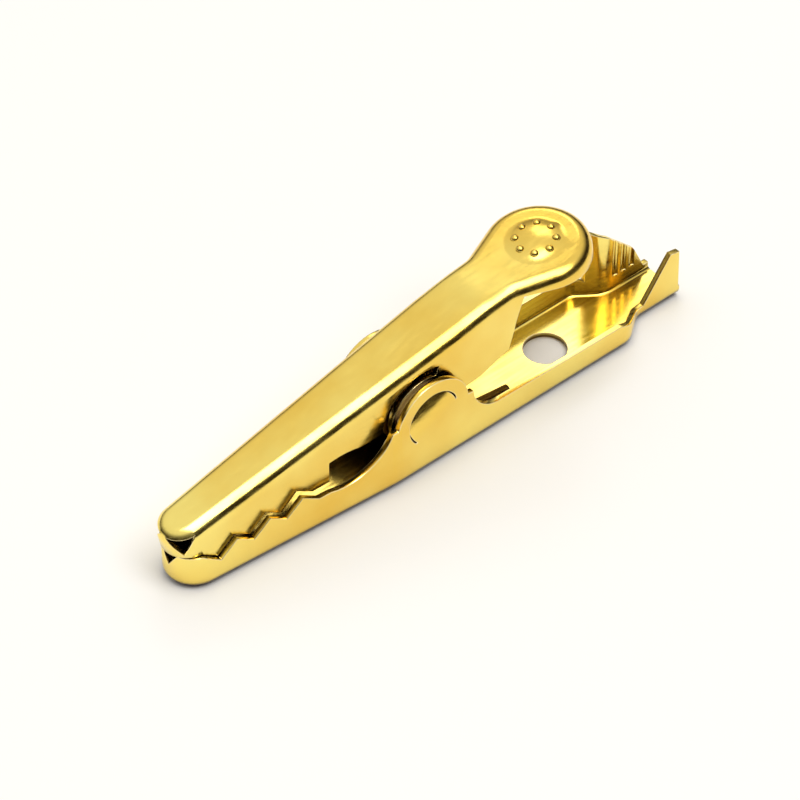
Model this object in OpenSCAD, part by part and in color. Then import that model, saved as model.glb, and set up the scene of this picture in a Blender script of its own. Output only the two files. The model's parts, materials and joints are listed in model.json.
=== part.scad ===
// Small crocodile clip: two gold-plated sheet jaws that nest at a pressed-in hinge, and the coil
// spring between them that keeps the teeth shut. Nose at -X, wire tail at +X, flat underside on Z = 0.

/* [Overall] */
// Length over all, from the nose to the end of the wire tail
clip_len = 28.8; // [28.4:0.2:29.6]
// Distance from the nose back to the hinge axis
nose_reach = 13.3; // [13:0.1:13.6]
// Height of the hinge axis above the underside
pivot_z = 2.9; // [2.8:0.05:3]
// Thickness of the plated sheet
sheet = 0.28; // [0.24:0.01:0.3]

/* [Lower jaw] */
// Width of the round nose of the lower jaw
lower_nose_w = 2.75; // [2.5:0.25:3]
// Length by which each side widens from the nose
taper_len = 9.5; // [9.25:0.125:9.75]
// Outer bend radius of the lower jaw
lower_bend = 0.45; // [0.4:0.05:0.5]
// Height of the low rim behind the hinge ears
rim_h = 1.55; // [1.4:0.05:1.65]
// Distance of the tail shoulders behind the hinge axis
shoulder_back = 11.3; // [11.1:0.1:11.5]

/* [Upper jaw] */
// Width of the upper jaw at the hinge, inside the lower jaw
upper_w = 3.2; // [3.1:0.1:3.3]
// Width of the round nose of the upper jaw
upper_nose_w = 2.3; // [2.2:0.05:2.4]
// Outer bend radius of the upper jaw
upper_bend = 0.65; // [0.55:0.05:0.7]
// Slope of the top from the nose up to its bend
front_slope = 11.5; // [11:0.5:12]
// Distance of the bend in the top behind the hinge axis
knee_back = 3.8; // [3.6:0.1:4]
// Height of the bend in the top
knee_z = 6.7; // [6.6:0.05:6.8]

/* [Teeth] */
// Middle height of the bite at the mouth
bite_z = 2.25; // [2.2:0.05:2.35]
// Fall of the bite towards the nose
bite_slope = 6.5; // [5.5:0.5:7]
// Depth of a tooth
tooth_h = 0.65; // [0.5:0.05:0.7]
// Pitch of the teeth
tooth_pitch = 1.7; // [1.6:0.05:1.75]
// Teeth along each side
tooth_n = 3; // [2:1:3]
// Gap that stays open between the closed teeth
bite_gap = 0.06; // [0.04:0.01:0.1]

/* [Hinge] */
// Radius of the ear of the lower jaw
ear_r = 2; // [1.95:0.05:2.1]
// Radius of the pressed-in hinge tongue
boss_r = 1.3; // [1.2:0.05:1.3]
// Running clearance round the hinge tongue
boss_gap = 0.06; // [0.04:0.01:0.08]
// Width of the slot in the upper cheek round the ear
ear_slot = 0.32; // [0.25:0.01:0.35]

/* [Thumb pad] */
// Diameter of the thumb pad
pad_d = 4.9; // [4.7:0.1:5.1]
// Distance of the pad's middle behind the bend in the top, along the top
pad_run = 3.55; // [3.45:0.05:3.7]
// Height of the pad's dome
dome_h = 0.3; // [0.2:0.05:0.4]
// Depth of the turned-down rim of the pad
pad_rim = 0.8; // [0.7:0.05:0.9]
// Raised grip dots in the ring on the dome
dot_n = 8; // [6:1:9]

/* [Wire tail] */
// Diameter of the wire hole
hole_d = 2; // [1.8:0.1:2.2]
// Distance of the wire hole behind the hinge axis
hole_back = 8.4; // [8.2:0.05:8.6]
// Length of the slant by which each side draws in to the crimp trough
shoulder_run = 0.9; // [0.8:0.05:1]
// Height of the near crimp tab
fin_h = 2.85; // [2.6:0.05:3]
// Height of the far crimp tab
tab_h = 4; // [3.8:0.1:4.2]

/* [Spring] */
// Diameter of the spring wire
wire_d = 0.45; // [0.4:0.01:0.46]
// Whole turns of the coil before the last part turn
coil_turns = 3; // [2:1:3]

/* [Hidden] */
$fn = 96;
gold = "#e6bf45";
steel = "#b9b4a8";
far = 40;

// A length to the nearest hundredth of a millimetre
function tidy(length) = round(100 * length) / 100;

// Lengths from the middle of the clip
x_nose = -clip_len / 2;
x_tail = clip_len / 2;
pivot_x = x_nose + nose_reach;
hole_x = pivot_x + hole_back;
upper_hw = upper_w / 2;
lower_nose_r = lower_nose_w / 2;
upper_nose_r = upper_nose_w / 2;

// Sheet corners: the lip is the strip of floor that a bend carries along
lip_extra = 0.3;
seam_step = 0.3;
kink_r = 8;
upper_kink = 1.44;

// The sides of the lower jaw widen from its nose and end parallel
taper_turn = atan2(237, 3116);
widen = [
    taper_len * cos(taper_turn) + (kink_r - lower_nose_r) * sin(taper_turn),
    taper_len * sin(taper_turn) - (kink_r - lower_nose_r) * cos(taper_turn)
];
body_hw = kink_r + widen.y;

// Upper jaw: a sloped front, a rolled bend in the top and a flatter rear, each in its own frame
knee_r = 10;
knee_turn = taper_turn;
rear_slope = front_slope - knee_turn;
knee_x = pivot_x + knee_back;
knee_t = knee_r * tan(knee_turn / 2);
front_x = knee_x - knee_t * cos(front_slope);
front_z = knee_z - knee_t * sin(front_slope);
rear_x = knee_x + knee_t * cos(rear_slope);
rear_z = knee_z + knee_t * sin(rear_slope);
cheek_h = 6.2;
upper_len = tidy((front_x - x_nose + upper_bend * sin(front_slope)) / cos(front_slope));
pad_r = pad_d / 2;
pad_z = rear_z + pad_run * sin(rear_slope);
dome_r = 1.45;

// Bite line of the teeth, the mouth behind them and the slot round the ear
mouth_back = 5.25;
mouth_x = pivot_x - mouth_back;
nose_bite = bite_z - (mouth_x - x_nose) * tan(bite_slope);
slot_r = ear_r + ear_slot;
lug_r = 1.85;

// The front wall of the upper nose leans back as it comes down, and the lower nose meets it there
nose_drop = (front_z - nose_bite - upper_len * sin(front_slope)) / cos(front_slope);
lower_nose_x = tidy(front_x - upper_len * cos(front_slope) + nose_drop * sin(front_slope));
nose_cx = lower_nose_x + lower_nose_r;
lower_kink_x = nose_cx + widen.x;
tooth_start = 0.4;
tooth_x = nose_cx + tooth_start;

// Hinge tongue: lanced on the line at tongue_root, curled inward and towards the upper front
tongue_turn = 120;
tongue_root = -0.3;
tongue_curl = 1.8;

// Tail: each side draws in from the body to the trough by an arc, a slant and a counter arc
shoulder_r = 1;
shoulder_x = pivot_x + shoulder_back;
shoulder_turn = atan2(3, 4);
slant_x = shoulder_x + shoulder_r * sin(shoulder_turn);
slant_y = body_hw - shoulder_r * (1 - cos(shoulder_turn));
tail_hw = slant_y - shoulder_run * sin(shoulder_turn) - shoulder_r * (1 - cos(shoulder_turn));
trough_x = slant_x + shoulder_run * cos(shoulder_turn) + shoulder_r * sin(shoulder_turn);
lip_h = 0.6;

// Spring: the coil runs clear of the hinge tongues inside the upper cheeks
wire_r = wire_d / 2;
wire_gap = 0.06;
coil_play = 0.15;
coil_r = boss_r + coil_play + wire_r;
coil_y = upper_hw - sheet - wire_r - wire_gap;
leg_reach = 5.2;
leg_x = pivot_x + leg_reach;
leg_low_z = sheet + wire_r + wire_gap / 2;
leg_high_z = rear_z + (leg_x - rear_x) * tan(rear_slope) - sheet - wire_r - 2 * wire_gap;

// Angle in plan of a side that leaves the round nose and meets the parallel part
function taper(nose_r, run, half_w) =
    atan2(half_w - kink_r, run) + asin((kink_r - nose_r) / norm([run, half_w - kink_r]));

// Middle height of the bite at a place along the jaw
function bite_at(x) = bite_z - (mouth_x - x) * tan(bite_slope);

// Zigzag of the bite from the nose back, moved up by lift
function bite_line(lift) = [
    for (i = [0 : 2 * tooth_n])
        let (x = tooth_x + i * tooth_pitch / 2)
            [x, bite_at(x) + lift + (i % 2 == 0 ? -0.5 : 0.5) * tooth_h]
];

// Height of the edge round the nose
nose_edge = bite_at(nose_cx) + tooth_h / 2;

// Edge of a jaw round the nose, along the teeth and on to the mouth, moved up by lift
function bite_edge(lift) =
    let (zigzag = bite_line(lift))
        concat(
            [[x_nose - 1, nose_edge + lift], [tooth_x - tooth_pitch / 2, nose_edge + lift]],
            zigzag,
            [[mouth_x, zigzag[2 * tooth_n].y]]
        );

// Section of one sheet corner: outer faces on the two axes, floor along x, wall along y
module corner_section(bend, lip, wall) {
    intersection() {
        translate([bend, bend]) difference() {
            circle(bend);
            circle(bend - sheet);
        }
        square(bend);
    }
    translate([0, bend]) square([sheet, wall - bend]);
    translate([bend, 0]) square([lip - bend, sheet]);
}

// Straight side along +x, its outer face on y = 0 and the sheet inside it at -y
module side_run(length, bend, wall) {
    rotate([90, 0, 90])
        linear_extrude(length)
            mirror([1, 0]) corner_section(bend, bend + lip_extra, wall);
}

// Side that turns about the z axis with its outer face at the given radius, bulging outward
module side_turn(radius, start, turn, bend, lip, wall) {
    rotate([0, 0, start])
        rotate_extrude(angle = turn)
            translate([radius, 0]) mirror([1, 0]) corner_section(bend, lip, wall);
}

// Side that turns the other way, hollow on its outer face
module side_counter_turn(radius, start, turn, bend, wall) {
    rotate([0, 0, start])
        rotate_extrude(angle = turn)
            translate([radius, 0]) corner_section(bend, bend + lip_extra, wall);
}

// Round-nosed tray of bent sheet with its floor on z = 0 and walls up.
// The nose of radius nose_r is centred on nose_x, and the sides are parallel from kink_x to end_x
module tray(nose_r, nose_x, kink_x, end_x, half_w, bend, wall) {
    run = kink_x - nose_x;
    turn = taper(nose_r, run, half_w);
    out = [-sin(turn), cos(turn)];
    along = [cos(turn), sin(turn)];
    inset = bend + lip_extra / 2;
    front_in = [nose_x, 0] + (nose_r - inset) * out + seam_step * along;
    rear_in = [kink_x, half_w - kink_r] + (kink_r - inset) * out - seam_step * along;
    translate([nose_x, 0, 0]) intersection() {
        rotate_extrude() translate([nose_r, 0]) mirror([1, 0]) corner_section(bend, nose_r, wall);
        linear_extrude(far, center = true)
            polygon([[0, 0], far * out, [-far, far], [-far, -far], far * [out.x, -out.y]]);
    }
    for (side = [0, 1])
        mirror([0, side, 0]) {
            translate([nose_x, 0, 0]) rotate([0, 0, turn]) translate([0, nose_r, 0])
                side_run(run * cos(turn) + (half_w - kink_r) * sin(turn), bend, wall);
            translate([kink_x, half_w - kink_r, 0])
                side_turn(kink_r, 90, turn, bend, bend + lip_extra, wall);
            translate([kink_x, half_w, 0]) side_run(end_x - kink_x, bend, wall);
        }
    linear_extrude(sheet)
        polygon([
            [nose_x - seam_step, 0], front_in, rear_in,
            [kink_x + seam_step, half_w - inset], [end_x, half_w - inset],
            [end_x, inset - half_w], [kink_x + seam_step, inset - half_w],
            [rear_in.x, -rear_in.y], [front_in.x, -front_in.y]
        ]);
}

// Shoulders and straight trough that carry the lower jaw on into the wire tail
module tail_tray(wall) {
    bend = lower_bend;
    inset = bend + lip_extra / 2;
    in_c = [shoulder_x, body_hw - shoulder_r];
    out_c = [trough_x, tail_hw + shoulder_r];
    half_turn = [sin(shoulder_turn / 2), cos(shoulder_turn / 2)];
    slant_mid = [slant_x, slant_y] + shoulder_run / 2 * [cos(shoulder_turn), -sin(shoulder_turn)];
    edge = [
        [shoulder_x - seam_step, body_hw - inset - lip_extra / 5],
        in_c + (shoulder_r - inset) * half_turn,
        slant_mid - inset * [sin(shoulder_turn), cos(shoulder_turn)],
        out_c - (shoulder_r + inset) * half_turn,
        [trough_x + seam_step, tail_hw - inset],
        [x_tail, tail_hw - inset],
        [x_tail, inset - tail_hw],
        [shoulder_x - seam_step, inset - tail_hw]
    ];
    for (side = [0, 1])
        mirror([0, side, 0]) {
            translate([in_c.x, in_c.y, 0])
                side_turn(shoulder_r, 90 - shoulder_turn, shoulder_turn, bend, bend + lip_extra, wall);
            translate([slant_x, slant_y, 0]) rotate([0, 0, -shoulder_turn])
                side_run(shoulder_run, bend, wall);
            translate([out_c.x, out_c.y, 0])
                side_counter_turn(shoulder_r, 270 - shoulder_turn, shoulder_turn, bend, wall);
            translate([trough_x, tail_hw, 0]) side_run(x_tail - trough_x, bend, wall);
            linear_extrude(sheet) polygon(edge);
        }
}

// Side outline of a sheet part drawn in x and z, run through the whole width
module through(width) {
    rotate([90, 0, 0]) linear_extrude(width, center = true) children();
}

// Lower cheek seen from the side, but for its round ear: teeth, mouth and low rim
module lower_side() {
    mouth_r = 2.7;
    mouth_mid = pivot_x - 4.75;
    mouth_drop = 1.2;
    flank_r = 1.6;
    flank_x = pivot_x + 3.9;
    ear_top = pivot_z + 0.4;
    rim_fall = 0.1;
    difference() {
        polygon(concat(
            [[x_nose - 1, -1]],
            bite_edge(0),
            [
                [mouth_x, ear_top], [pivot_x, ear_top], [flank_x, pivot_z], [flank_x, rim_h],
                [shoulder_x - seam_step, rim_h - rim_fall], [trough_x - seam_step, lip_h + rim_fall],
                [x_tail + 1, lip_h], [x_tail + 1, -1]
            ]
        ));
        translate([mouth_mid, pivot_z - mouth_drop + mouth_r]) circle(mouth_r);
        translate([flank_x, rim_h + flank_r]) circle(flank_r);
    }
}

// Near crimp tab, cut to a fin that rises to the rear
module near_tab_side() {
    polygon([
        [trough_x - 1.2, -1], [x_tail - 0.65, fin_h], [x_tail - 0.1, fin_h - 0.1], [x_tail - 0.05, -1]
    ]);
}

// Far crimp tab, tallest in front and falling to the rear
module far_tab_side() {
    front = shoulder_x + 0.8;
    polygon([
        [front, -1], [front, tab_h], [trough_x - 0.2, tab_h - 0.5],
        [x_tail - 0.95, tab_h / 2], [x_tail + 0.45, -1]
    ]);
}

// Upright flutes pressed into the inner face of the far crimp tab
module tab_flutes() {
    flute_r = 0.22;
    flute_cut = 0.1;
    flute_pitch = 0.5;
    for (i = [0 : 2])
        translate([trough_x + 0.2 + i * flute_pitch, tail_hw - sheet - flute_r + flute_cut, 1])
            cylinder(r = flute_r, h = tab_h);
}

// Tongue pressed in from the ear: it curls inward round the hinge axis and leaves a crescent open
module hinge_tongue() {
    curl = asin((boss_r - tongue_root) / tongue_curl) + 4;
    translate([pivot_x, -body_hw, pivot_z])
        intersection() {
            rotate([0, -tongue_turn, 0])
                linear_extrude(4 * boss_r, center = true)
                    translate([tongue_root, tongue_curl]) intersection() {
                        difference() {
                            circle(tongue_curl);
                            circle(tongue_curl - sheet);
                        }
                        polygon([[0, 0], [0, -far], [far * sin(curl), -far * cos(curl)]]);
                    }
            rotate([90, 0, 0]) cylinder(r = boss_r, h = 2 * body_hw, center = true);
        }
}

// Opening in the ear that the tongue is pressed out of
module tongue_opening() {
    translate([pivot_x, -body_hw, pivot_z])
        intersection() {
            rotate([90, 0, 0]) cylinder(r = boss_r + boss_gap, h = body_hw, center = true);
            rotate([0, -tongue_turn, 0]) translate([tongue_root, -far / 2, -far / 2]) cube(far);
        }
}

// Open notch in the middle of the lower nose
module nose_notch() {
    notch_hw = 0.55;
    notch_h = 0.75;
    rise = 0.1;
    translate([lower_nose_x - 1, 0, nose_edge]) rotate([90, 0, 90])
        linear_extrude(1 + lower_nose_r)
            polygon([[0, -notch_h], [notch_hw, rise], [-notch_hw, rise]]);
}

// Outer jaw that the clip stands on, with ears, teeth, wire hole and crimp tail in one bent sheet
module lower_jaw() {
    wall = tab_h + 1;
    color(gold) {
        difference() {
            intersection() {
                union() {
                    tray(
                        lower_nose_r, nose_cx, lower_kink_x, shoulder_x,
                        body_hw, lower_bend, wall
                    );
                    tail_tray(wall);
                }
                union() {
                    through(far) lower_side();
                    through(far) translate([pivot_x, pivot_z]) circle(ear_r);
                    translate([0, -far / 4, 0]) through(far / 2) near_tab_side();
                    translate([0, far / 4, 0]) through(far / 2) far_tab_side();
                }
            }
            for (side = [0, 1])
                mirror([0, side, 0]) tongue_opening();
            translate([hole_x, 0, -1]) cylinder(d = hole_d, h = 2);
            nose_notch();
            tab_flutes();
        }
        for (side = [0, 1])
            mirror([0, side, 0]) hinge_tongue();
    }
}

// Upper cheek seen from the side, but for its round lug: teeth, mouth, slot round the ear and rear edge
module upper_side() {
    mouth_r = 3.75;
    mouth_mid = pivot_x - 4.6;
    mouth_rise = 0.15;
    slot_end = 70;
    rim_z = pad_z - pad_rim;
    difference() {
        polygon(concat(
            [[x_nose - 1, far]],
            bite_edge(bite_gap),
            [
                [mouth_x, pivot_z], [pivot_x + lug_r, pivot_z],
                [pivot_x + 3.2, pivot_z + 0.15], [pivot_x + 4.8, pivot_z + 0.75],
                [pivot_x + 5.1, pivot_z + 1.7], [pivot_x + 5.5, rim_z], [x_tail, rim_z],
                [x_tail, far]
            ]
        ));
        intersection() {
            translate([mouth_mid, pivot_z + mouth_rise - mouth_r]) circle(mouth_r);
            translate([mouth_x, 0]) square(far);
        }
        translate([pivot_x, pivot_z]) intersection() {
            circle(slot_r);
            polygon([[0, 0], far * [cos(slot_end), sin(slot_end)], [-far, far], [-far, -far]]);
        }
    }
}

// Rear of the upper jaw, floor on z = 0 and walls up: the sides flare out and run round the thumb pad
module pad_tray() {
    bend = upper_bend;
    flare_r = 1;
    flare = atan2(44, 117);
    flare_x = pad_run - (pad_r + flare_r - (upper_hw + flare_r) * cos(flare)) / sin(flare);
    along = [cos(flare), sin(flare)];
    inset = (bend + lip_extra / 2) * [-sin(flare), cos(flare)];
    leave = [flare_x + flare_r * sin(flare), upper_hw + flare_r * (1 - cos(flare))];
    meet = [pad_run - pad_r * sin(flare), pad_r * cos(flare)];
    leave_in = leave - inset + seam_step * along;
    meet_in = meet - inset - seam_step * along;
    ring_in = [pad_run, dome_r + lip_extra / 2];
    for (side = [0, 1])
        mirror([0, side, 0]) {
            translate([0, upper_hw, 0]) side_run(flare_x, bend, cheek_h);
            translate([flare_x, upper_hw + flare_r, 0])
                side_counter_turn(flare_r, 270, flare, bend, cheek_h);
            translate(leave) rotate([0, 0, flare]) side_run(norm(meet - leave), bend, cheek_h);
            translate([pad_run, 0, 0]) side_turn(pad_r, 90, flare, bend, bend + lip_extra, cheek_h);
        }
    translate([pad_run, 0, 0]) side_turn(pad_r, -90, 180, bend, bend + lip_extra, cheek_h);
    linear_extrude(sheet) difference() {
        polygon([
            [0, upper_hw - bend - lip_extra / 2], leave_in, meet_in, ring_in,
            [ring_in.x, -ring_in.y], [meet_in.x, -meet_in.y], [leave_in.x, -leave_in.y],
            [0, bend + lip_extra / 2 - upper_hw]
        ]);
        translate([pad_run, 0]) circle(dome_r + lip_extra / 3);
    }
}

// Pressed dome of the thumb pad with a ring of raised grip dots, its edge on z = 0
module pad_dome() {
    ball_r = (dome_r * dome_r + dome_h * dome_h) / (2 * dome_h);
    ball_z = dome_h - ball_r;
    ring_r = 0.9;
    dot_r = 0.2;
    dot_sink = 0.07;
    rotate_extrude() {
        intersection() {
            translate([0, ball_z]) difference() {
                circle(ball_r);
                circle(ball_r - sheet);
            }
            translate([0, -sheet]) square([dome_r, dome_h + 2 * sheet]);
        }
        translate([dome_r, -sheet]) square([pad_r - upper_bend - lip_extra / 2 - dome_r, sheet]);
    }
    for (i = [0 : dot_n - 1])
        rotate(i * 360 / dot_n)
            translate([ring_r, 0, ball_z + sqrt(ball_r * ball_r - ring_r * ring_r) - dot_sink])
                sphere(dot_r);
}

// Three-cornered relief left open at each corner of the upper nose, in the frame of its sloped top
module nose_reliefs() {
    relief_hw = 0.6;
    relief_top = 0.3;
    relief_tip = 1.2;
    relief_turn = 47;
    for (side = [-1, 1])
        translate([upper_nose_r - upper_len, 0, 0]) rotate([0, 0, 180 + relief_turn * side])
            rotate([90, 0, 90]) linear_extrude(far)
                polygon([[-relief_hw, -relief_top], [relief_hw, -relief_top], [0, -relief_tip]]);
}

// Inner jaw with the thumb pad: a channel that slopes up from the nose, bends and flares to the pad
module upper_jaw() {
    color(gold)
        difference() {
            intersection() {
                union() {
                    translate([front_x, 0, front_z]) rotate([0, -front_slope, 0]) {
                        mirror([0, 0, 1])
                            tray(
                                upper_nose_r, upper_nose_r - upper_len, -upper_kink, 0,
                                upper_hw, upper_bend, cheek_h
                            );
                        translate([0, 0, -knee_r]) {
                            rotate([90, 0, 0]) rotate([0, 0, 90 - knee_turn])
                                rotate_extrude(angle = knee_turn)
                                    for (side = [0, 1])
                                        mirror([0, side])
                                            translate([knee_r, upper_hw]) mirror([1, 1])
                                                corner_section(upper_bend, upper_hw, cheek_h);
                            rotate([0, knee_turn, 0]) translate([0, 0, knee_r]) {
                                mirror([0, 0, 1]) pad_tray();
                                translate([pad_run, 0, 0]) pad_dome();
                            }
                        }
                    }
                }
                union() {
                    through(far) upper_side();
                    through(far) translate([pivot_x, pivot_z]) circle(lug_r);
                }
            }
            translate([pivot_x, 0, pivot_z]) rotate([90, 0, 0])
                cylinder(r = boss_r + boss_gap, h = far, center = true);
            translate([front_x, 0, front_z]) rotate([0, -front_slope, 0]) nose_reliefs();
        }
}

// Angle on the coil at which a leg leaves it for the point p, above (+1) or below (-1)
function leave_angle(p, side) =
    atan2(p.y, p.x) + side * acos(coil_r / norm(p));

// Point on the coil's mean circle
function on_coil(angle) = [pivot_x + coil_r * cos(angle), pivot_z + coil_r * sin(angle)];

// Coil spring bent from one wire: a leg along the floor, the coil, and a leg under the top of the upper jaw
module torsion_spring() {
    sides = 10;
    low_end = [leg_x, leg_low_z];
    high_end = [leg_x, leg_high_z];
    low_angle = leave_angle(low_end - [pivot_x, pivot_z], -1);
    high_angle = leave_angle(high_end - [pivot_x, pivot_z], 1);
    wound = 360 * (coil_turns + 1) - (high_angle - low_angle);
    rings = ceil(wound / 18);
    // Each station: x, z, y of the wire's middle and the direction of its outer side
    path = concat(
        [[low_end.x, low_end.y, -coil_y, low_angle]],
        [for (i = [0 : rings])
            let (s = i / rings, a = low_angle - s * wound, p = on_coil(a))
                [p.x, p.y, coil_y * (2 * s - 1), a]],
        [[high_end.x, high_end.y, coil_y, high_angle]]
    );
    last = len(path) - 1;
    points = [
        for (p = path)
            for (k = [0 : sides - 1])
                let (c = wire_r * cos(k * 360 / sides), s = wire_r * sin(k * 360 / sides))
                    [p[0] + c * cos(p[3]), p[2] + s, p[1] + c * sin(p[3])]
    ];
    skin = [
        for (i = [0 : last - 1])
            for (k = [0 : sides - 1])
                let (n = (k + 1) % sides)
                    [i * sides + k, i * sides + n, (i + 1) * sides + n, (i + 1) * sides + k]
    ];
    first_cap = [[for (k = [sides - 1 : -1 : 0]) k]];
    last_cap = [[for (k = [0 : sides - 1]) last * sides + k]];
    color(steel)
        polyhedron(points, concat(skin, first_cap, last_cap));
}

lower_jaw();
upper_jaw();
torsion_spring();
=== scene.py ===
"""A small gold-plated crocodile clip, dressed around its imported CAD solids."""

import json
import math

import bmesh
import bpy
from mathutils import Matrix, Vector


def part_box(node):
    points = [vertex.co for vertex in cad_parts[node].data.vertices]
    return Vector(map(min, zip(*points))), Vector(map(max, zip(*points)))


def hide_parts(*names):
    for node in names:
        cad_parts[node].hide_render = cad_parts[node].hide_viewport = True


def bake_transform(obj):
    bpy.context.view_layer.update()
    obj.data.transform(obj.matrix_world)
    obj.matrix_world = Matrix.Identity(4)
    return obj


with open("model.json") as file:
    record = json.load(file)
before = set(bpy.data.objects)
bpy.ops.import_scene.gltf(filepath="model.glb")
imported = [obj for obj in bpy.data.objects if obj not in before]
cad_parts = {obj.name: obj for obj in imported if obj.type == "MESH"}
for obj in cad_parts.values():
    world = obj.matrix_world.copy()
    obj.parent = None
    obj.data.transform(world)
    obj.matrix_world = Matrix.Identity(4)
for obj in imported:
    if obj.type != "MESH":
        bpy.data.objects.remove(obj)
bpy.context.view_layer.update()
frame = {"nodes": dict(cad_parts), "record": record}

# Lower jaw
# The outer jaw is one piece of spring brass sheet, blanked, pierced and bent to a tray, then barrel
# plated with bright gold. Its ears, teeth, wire hole and crimp tail are all cut from that one blank.
MM = 0.001
STAMPED_EDGE = 0.035 * MM
SEAM = 0.0005 * MM
EDGE_ANGLE = math.radians(75)
CREASE_ANGLE = math.radians(38)
FLAT_ANGLE = math.radians(0.5)
LOWER_NOSE = Vector((-12.775, 0, 0.14)) * MM
LOWER_NOSE_REACH = 0.72 * MM
LOWER_NOSE_GAP = 0.27 * MM
PLATE_YELLOW = "#FDE780"
PLATE_DEEP = "#EFC654"
# Painted shade, mixed in where nearby surfaces close in round the plating.
PAINTED_SHADE_BROWN = "#3C1A08"
STAIN_MM = 5.0
PEEL_MM = 0.45
PEEL_HEIGHT_MM = 0.02
PEEL_STRENGTH = 0.12
# Rolling marks are really about 0.03 mm apart, which is too fine to show here, so they are coarser.
ROLL_MARK_MM = 0.16
ROLL_SQUEEZE = 0.06
ROLL_HEIGHT_MM = 0.01
ROLL_STRENGTH = 0.1
ROUGH_POLISHED = 0.14
ROUGH_ROLLED = 0.27
# Most of a noise pattern lies between these values.
NOISE_LOW = 0.3
NOISE_HIGH = 0.7
# Reach of the hollow's walls, the rays that look for them, and the share of free rays at which the
# painted shade is darkest and at which it is gone.
HOLLOW_MM = 3.6
HOLLOW_RAYS = 12
FREE_DARKEST = 0.3
FREE_UNSHADED = 0.56
# Places of the two colours and of the result among the sockets of a colour mix.
MIX_FIRST = 6
MIX_SECOND = 7
MIX_RESULT = 2


def linear(code):
    """Linear RGBA of an sRGB hex colour."""
    parts = [int(code[i : i + 2], 16) / 255 for i in (1, 3, 5)]
    return [c / 12.92 if c <= 0.04045 else ((c + 0.055) / 1.055) ** 2.4 for c in parts] + [1.0]


def add(tree, kind, settings=None, inputs=None):
    """One shader node with its settings, its socket values and the links into it."""
    made = tree.nodes.new(kind)
    for name, value in (settings or {}).items():
        setattr(made, name, value)
    for name, value in (inputs or {}).items():
        if isinstance(value, bpy.types.NodeSocket):
            tree.links.new(value, made.inputs[name])
        else:
            made.inputs[name].default_value = value
    return made


def new_material(name):
    """An empty node material and its tree."""
    material = bpy.data.materials.new(name)
    material.use_nodes = True
    material.node_tree.nodes.clear()
    return material, material.node_tree


def paint_hollow_shade(tree, colour):
    """Colour with painted shade: dark brown where the walls, the other jaw and the floor close in
    round it.
    """
    hollow = add(
        tree,
        "ShaderNodeAmbientOcclusion",
        {"samples": HOLLOW_RAYS},
        {"Distance": HOLLOW_MM * MM},
    )
    shade_share = add(
        tree,
        "ShaderNodeMapRange",
        inputs={
            "Value": hollow.outputs["AO"],
            "From Min": FREE_DARKEST,
            "From Max": FREE_UNSHADED,
            "To Min": 1.0,
            "To Max": 0.0,
        },
    )
    shaded = add(
        tree,
        "ShaderNodeMix",
        {"data_type": "RGBA"},
        {"Factor": shade_share.outputs["Result"], MIX_FIRST: colour, MIX_SECOND: linear(PAINTED_SHADE_BROWN)},
    )
    return shaded.outputs[MIX_RESULT]


# Bright gold plating over rolled brass: a clear yellow mirror, softened by the rolling marks that run
# along the sheet, by the slight peel of the plating and by faint deeper patches where it is thicker.
# In the hollow between the jaws and along edges near the floor, painted shade turns it brown.
bright_gold_plate, tree = new_material("bright_gold_plate")
place = add(tree, "ShaderNodeTexCoord")
along = add(
    tree,
    "ShaderNodeMapping",
    inputs={"Vector": place.outputs["Object"], "Scale": (ROLL_SQUEEZE, 1.0, 1.0)},
)
stain = add(
    tree,
    "ShaderNodeTexNoise",
    inputs={"Vector": place.outputs["Object"], "Scale": 1 / (STAIN_MM * MM), "Detail": 3.0},
)
rolling = add(
    tree,
    "ShaderNodeTexNoise",
    inputs={"Vector": along.outputs["Vector"], "Scale": 1 / (ROLL_MARK_MM * MM), "Detail": 2.0},
)
peel = add(
    tree,
    "ShaderNodeTexNoise",
    inputs={"Vector": place.outputs["Object"], "Scale": 1 / (PEEL_MM * MM), "Detail": 2.0},
)
clearness = add(
    tree,
    "ShaderNodeMapRange",
    inputs={"Value": stain.outputs["Fac"], "From Min": NOISE_LOW, "From Max": NOISE_HIGH},
)
tone = add(
    tree,
    "ShaderNodeMix",
    {"data_type": "RGBA"},
    {
        "Factor": clearness.outputs["Result"],
        MIX_FIRST: linear(PLATE_DEEP),
        MIX_SECOND: linear(PLATE_YELLOW),
    },
)
dullness = add(
    tree,
    "ShaderNodeMapRange",
    inputs={
        "Value": rolling.outputs["Fac"],
        "From Min": NOISE_LOW,
        "From Max": NOISE_HIGH,
        "To Min": ROUGH_POLISHED,
        "To Max": ROUGH_ROLLED,
    },
)
peel_bump = add(
    tree,
    "ShaderNodeBump",
    inputs={
        "Height": peel.outputs["Fac"],
        "Strength": PEEL_STRENGTH,
        "Distance": PEEL_HEIGHT_MM * MM,
    },
)
roll_bump = add(
    tree,
    "ShaderNodeBump",
    inputs={
        "Height": rolling.outputs["Fac"],
        "Strength": ROLL_STRENGTH,
        "Distance": ROLL_HEIGHT_MM * MM,
        "Normal": peel_bump.outputs["Normal"],
    },
)
plating = add(
    tree,
    "ShaderNodeBsdfPrincipled",
    inputs={
        "Base Color": paint_hollow_shade(tree, tone.outputs[MIX_RESULT]),
        "Metallic": 1.0,
        "Roughness": dullness.outputs["Result"],
        "Normal": roll_bump.outputs["Normal"],
    },
)
add(tree, "ShaderNodeOutputMaterial", inputs={"Surface": plating.outputs["BSDF"]})

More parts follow.
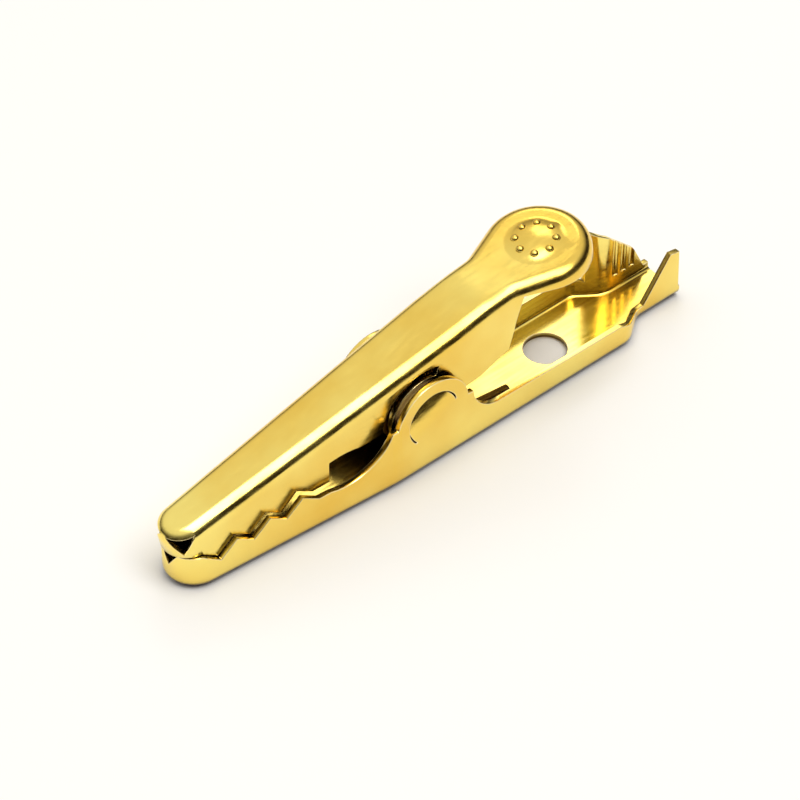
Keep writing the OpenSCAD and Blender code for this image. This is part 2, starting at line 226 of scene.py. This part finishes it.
# Gold rubbed bright on the sheared edges: the tumbling barrel wears the plating there, so the edge is
# paler and smoother than the flats, with dull spots where the rough break of the cut still shows.
RUBBED_PALE = "#FFF3C4"
RUBBED_DULL = "#E9C766"
BREAK_MM = 0.3
ROUGH_BREAK = 0.3
ROUGH_RUBBED = 0.12
rubbed_gold_edge, tree = new_material("rubbed_gold_edge")
place = add(tree, "ShaderNodeTexCoord")
breaks = add(
    tree,
    "ShaderNodeTexNoise",
    inputs={"Vector": place.outputs["Object"], "Scale": 1 / (BREAK_MM * MM), "Detail": 2.0},
)
edge_tone = add(
    tree,
    "ShaderNodeMix",
    {"data_type": "RGBA"},
    {"Factor": breaks.outputs["Fac"], MIX_FIRST: linear(RUBBED_DULL), MIX_SECOND: linear(RUBBED_PALE)},
)
edge_dullness = add(
    tree,
    "ShaderNodeMapRange",
    inputs={
        "Value": breaks.outputs["Fac"],
        "From Min": NOISE_LOW,
        "From Max": NOISE_HIGH,
        "To Min": ROUGH_BREAK,
        "To Max": ROUGH_RUBBED,
    },
)
rubbed = add(
    tree,
    "ShaderNodeBsdfPrincipled",
    inputs={
        "Base Color": edge_tone.outputs[MIX_RESULT],
        "Metallic": 1.0,
        "Roughness": edge_dullness.outputs["Result"],
    },
)
add(tree, "ShaderNodeOutputMaterial", inputs={"Surface": rubbed.outputs["BSDF"]})


def finish_sheet(jaw, nose, reach, gap):
    """A plated jaw with whole corners at its nose and sheared edges rounded by the plating barrel."""
    jaw.data.materials.clear()
    jaw.data.materials.append(bright_gold_plate)
    jaw.data.materials.append(rubbed_gold_edge)
    weld = jaw.modifiers.new("joined_corners", "WELD")
    weld.merge_threshold = SEAM
    # The solid leaves a small open triangle at each corner of the nose, which the real bend closes.
    # The first pass joins two of its points and the second pass brings in the third.
    corners = jaw.vertex_groups.new(name="nose_corners")
    at_nose = [v.index for v in jaw.data.vertices if (v.co - nose).length < reach]
    corners.add(at_nose, 1.0, "ADD")
    for name in ("half_closed_nose", "closed_nose"):
        closing = jaw.modifiers.new(name, "WELD")
        closing.vertex_group = corners.name
        closing.merge_threshold = gap
    flats = jaw.modifiers.new("whole_flats", "DECIMATE")
    flats.decimate_type = "DISSOLVE"
    flats.angle_limit = FLAT_ANGLE
    edge = jaw.modifiers.new("tumbled_edges", "BEVEL")
    edge.width = STAMPED_EDGE
    edge.segments = 2
    edge.limit_method = "ANGLE"
    edge.angle_limit = EDGE_ANGLE
    edge.use_clamp_overlap = False
    edge.material = jaw.data.materials.find(rubbed_gold_edge.name)
    crease = jaw.modifiers.new("crisp_dots", "EDGE_SPLIT")
    crease.split_angle = CREASE_ANGLE
    jaw.modifiers.new("true_flats", "WEIGHTED_NORMAL")


finish_sheet(frame["nodes"]["lower_jaw"], LOWER_NOSE, LOWER_NOSE_REACH, LOWER_NOSE_GAP)

# Upper jaw
# The inner jaw is the second stamping in the same plated sheet. Its cheeks hang on the tongues of the
# lower ears, and its rear spreads into the round thumb pad with a pressed dome and grip dots.
UPPER_NOSE = Vector((-13.38, 0, 3.29)) * MM
UPPER_NOSE_REACH = 0.45 * MM
UPPER_NOSE_GAP = 0.05 * MM
finish_sheet(frame["nodes"]["upper_jaw"], UPPER_NOSE, UPPER_NOSE_REACH, UPPER_NOSE_GAP)

# Torsion spring
# One spring-steel wire, wound on an arbor and plated with the rest. Its coil sits round the tongues
# between the upper cheeks, with one leg along the lower floor and one under the upper top.
WIRE_MM = 0.45
LEG_MM = 5.2
TURNS = 3
WIRE_SIDES = 20
TURN_STEPS = 48
hinge = Vector(frame["record"]["behaviour"]["joints"][0]["pos_m"])
spring_low, spring_high = (Vector(corner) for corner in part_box("torsion_spring"))
wire_r = WIRE_MM / 2 * MM
coil_r = hinge.x - spring_low.x - wire_r
coil_y = spring_high.y - wire_r
leg_x = LEG_MM * MM


def leave_angle(point, side):
    """Angle on the coil at which a leg leaves it for a point given from the hinge axis."""
    return math.atan2(point.z, point.x) + side * math.acos(coil_r / math.hypot(point.x, point.z))


low_end = Vector((leg_x, -coil_y, spring_low.z + wire_r - hinge.z))
high_end = Vector((leg_x, coil_y, spring_high.z - wire_r - hinge.z))
low_angle = leave_angle(low_end, -1)
high_angle = leave_angle(high_end, 1)
wound = math.tau * (TURNS + 1) - (high_angle - low_angle)
steps = math.ceil(wound / math.tau * TURN_STEPS)
stations = [(low_end, low_angle)]
for i in range(steps + 1):
    s = i / steps
    a = low_angle - s * wound
    stations.append((Vector((coil_r * math.cos(a), coil_y * (2 * s - 1), coil_r * math.sin(a))), a))
stations.append((high_end, high_angle))

wire = bmesh.new()
rings = []
for middle, angle in stations:
    outward = Vector((math.cos(angle), 0, math.sin(angle)))
    ring = []
    for k in range(WIRE_SIDES):
        turn = math.tau * k / WIRE_SIDES
        offset = wire_r * (math.cos(turn) * outward + math.sin(turn) * Vector((0, 1, 0)))
        ring.append(wire.verts.new(hinge + middle + offset))
    rings.append(ring)
for first, second in zip(rings, rings[1:]):
    for k in range(WIRE_SIDES):
        n = (k + 1) % WIRE_SIDES
        wire.faces.new((first[k], first[n], second[n], second[k])).smooth = True
wire.faces.new(reversed(rings[0]))
wire.faces.new(rings[-1])
bmesh.ops.recalc_face_normals(wire, faces=wire.faces)
spring_mesh = bpy.data.meshes.new("torsion_spring_wire")
wire.to_mesh(spring_mesh)
wire.free()
torsion_spring = bpy.data.objects.new("torsion_spring_wire", spring_mesh)
bpy.context.scene.collection.objects.link(torsion_spring)

# Drawn spring steel with a thin gold flash: duller than the sheet, with fine die lines, and with the
# same painted shade in the hollow as the sheet.
WIRE_DULL = "#A97F32"
WIRE_PALE = "#DDB65A"
ROUGH_DRAWN = 0.32
# Die lines are really about 0.02 mm apart, which is too fine to show here, so they are coarser.
DIE_LINE_MM = 0.12
DIE_LINE_HEIGHT_MM = 0.01
DIE_LINE_STRENGTH = 0.2
flashed_spring_steel, tree = new_material("flashed_spring_steel")
place = add(tree, "ShaderNodeTexCoord")
die_lines = add(
    tree,
    "ShaderNodeTexNoise",
    inputs={"Vector": place.outputs["Object"], "Scale": 1 / (DIE_LINE_MM * MM), "Detail": 3.0},
)
tone = add(
    tree,
    "ShaderNodeMix",
    {"data_type": "RGBA"},
    {"Factor": die_lines.outputs["Fac"], MIX_FIRST: linear(WIRE_DULL), MIX_SECOND: linear(WIRE_PALE)},
)
die_bump = add(
    tree,
    "ShaderNodeBump",
    inputs={
        "Height": die_lines.outputs["Fac"],
        "Strength": DIE_LINE_STRENGTH,
        "Distance": DIE_LINE_HEIGHT_MM * MM,
    },
)
drawn = add(
    tree,
    "ShaderNodeBsdfPrincipled",
    inputs={
        "Base Color": paint_hollow_shade(tree, tone.outputs[MIX_RESULT]),
        "Metallic": 1.0,
        "Roughness": ROUGH_DRAWN,
        "Normal": die_bump.outputs["Normal"],
    },
)
add(tree, "ShaderNodeOutputMaterial", inputs={"Surface": drawn.outputs["BSDF"]})
spring_mesh.materials.append(flashed_spring_steel)
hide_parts("torsion_spring")
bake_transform(torsion_spring)

# Floor
# A plain sheet of matt white card under the clip, so wide that its edge lies at the horizon. A hair
# of air keeps it from sharing a plane with the flat underside.
FLOOR_SIZE = 20.0
FLOOR_DROP = 0.02 * MM
FLOOR_WHITE = "#FAF8F4"
ROUGH_CARD = 0.8
floor_mesh = bpy.data.meshes.new("floor")
sheet = bmesh.new()
bmesh.ops.create_grid(sheet, x_segments=1, y_segments=1, size=FLOOR_SIZE / 2)
sheet.to_mesh(floor_mesh)
sheet.free()
floor = bpy.data.objects.new("floor", floor_mesh)
floor.location.z = -FLOOR_DROP
bpy.context.scene.collection.objects.link(floor)
# Uncoated white card: even and without gloss, so that only the shadow shows on it.
matt_white_card, tree = new_material("matt_white_card")
card = add(
    tree,
    "ShaderNodeBsdfPrincipled",
    inputs={"Base Color": linear(FLOOR_WHITE), "Roughness": ROUGH_CARD},
)
add(tree, "ShaderNodeOutputMaterial", inputs={"Surface": card.outputs["BSDF"]})
floor_mesh.materials.append(matt_white_card)

# Studio light
# A white tent, bright overhead and down its far side and dark near the horizon in front, with a large
# soft box above that throws the shadow and a small one at the rear that lights the tail.
TENT_LEAN = (0.0, 0.3, 1.0)
TENT_DARK = "#302B24"
TENT_WHITE = "#FFFDF9"
TENT_DARK_END = 0.35
TENT_WHITE_START = 0.75
TENT_STRENGTH = 0.86
world = bpy.data.worlds.new("white_tent")
bpy.context.scene.world = world
world.use_nodes = True
tree = world.node_tree
tree.nodes.clear()
sky = add(tree, "ShaderNodeTexCoord")
lit_part = add(
    tree,
    "ShaderNodeVectorMath",
    {"operation": "DOT_PRODUCT"},
    {0: sky.outputs["Generated"], 1: TENT_LEAN},
)
tent = add(tree, "ShaderNodeValToRGB", inputs={"Fac": lit_part.outputs["Value"]})
near_horizon, overhead = tent.color_ramp.elements
near_horizon.position = TENT_DARK_END
near_horizon.color = linear(TENT_DARK)
overhead.position = TENT_WHITE_START
overhead.color = linear(TENT_WHITE)
backdrop = add(
    tree,
    "ShaderNodeBackground",
    inputs={"Color": tent.outputs["Color"], "Strength": TENT_STRENGTH},
)
add(tree, "ShaderNodeOutputWorld", inputs={"Surface": backdrop.outputs["Background"]})


def soft_box(name, where, width, depth, power):
    """An oblong area light that looks at the clip."""
    lamp = bpy.data.lights.new(name, "AREA")
    lamp.shape = "RECTANGLE"
    lamp.size = width
    lamp.size_y = depth
    lamp.energy = power
    box = bpy.data.objects.new(name, lamp)
    box.location = where
    box.rotation_euler = (-Vector(where)).to_track_quat("-Z", "Y").to_euler()
    bpy.context.scene.collection.objects.link(box)


soft_box("key_box", where=(0.04, -0.13, 0.485), width=0.22, depth=0.55, power=1.5)
soft_box("rear_box", where=(0.25, 0.28, 0.33), width=0.14, depth=0.14, power=0.12)

# Camera
# A long lens at the photograph's angle, placed so that the near end of the hinge axis falls on the
# same pixel as in the photograph.
IMAGE = 800
HINGE_PIXEL = (434, 418)
PIXELS_PER_MM = 23.2
TURN = math.radians(-41)
RISE = math.radians(44.5)
DISTANCE = 200 * MM
NEAR_LIMIT = 10 * MM
SENSOR = 36.0
aim = Vector((hinge.x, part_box("lower_jaw")[0][1], hinge.z))
back = Vector(
    (math.sin(TURN) * math.cos(RISE), -math.cos(TURN) * math.cos(RISE), math.sin(RISE))
)
lens = bpy.data.cameras.new("camera")
lens.sensor_width = SENSOR
lens.lens = PIXELS_PER_MM * DISTANCE / MM * SENSOR / IMAGE
lens.shift_x = (IMAGE / 2 - HINGE_PIXEL[0]) / IMAGE
lens.shift_y = (HINGE_PIXEL[1] - IMAGE / 2) / IMAGE
lens.clip_start = NEAR_LIMIT
camera = bpy.data.objects.new("camera", lens)
camera.location = aim + DISTANCE * back
camera.rotation_euler = back.to_track_quat("Z", "Y").to_euler()
bpy.context.scene.collection.objects.link(camera)
bpy.context.scene.camera = camera
bpy.context.scene.view_settings.view_transform = "Standard"
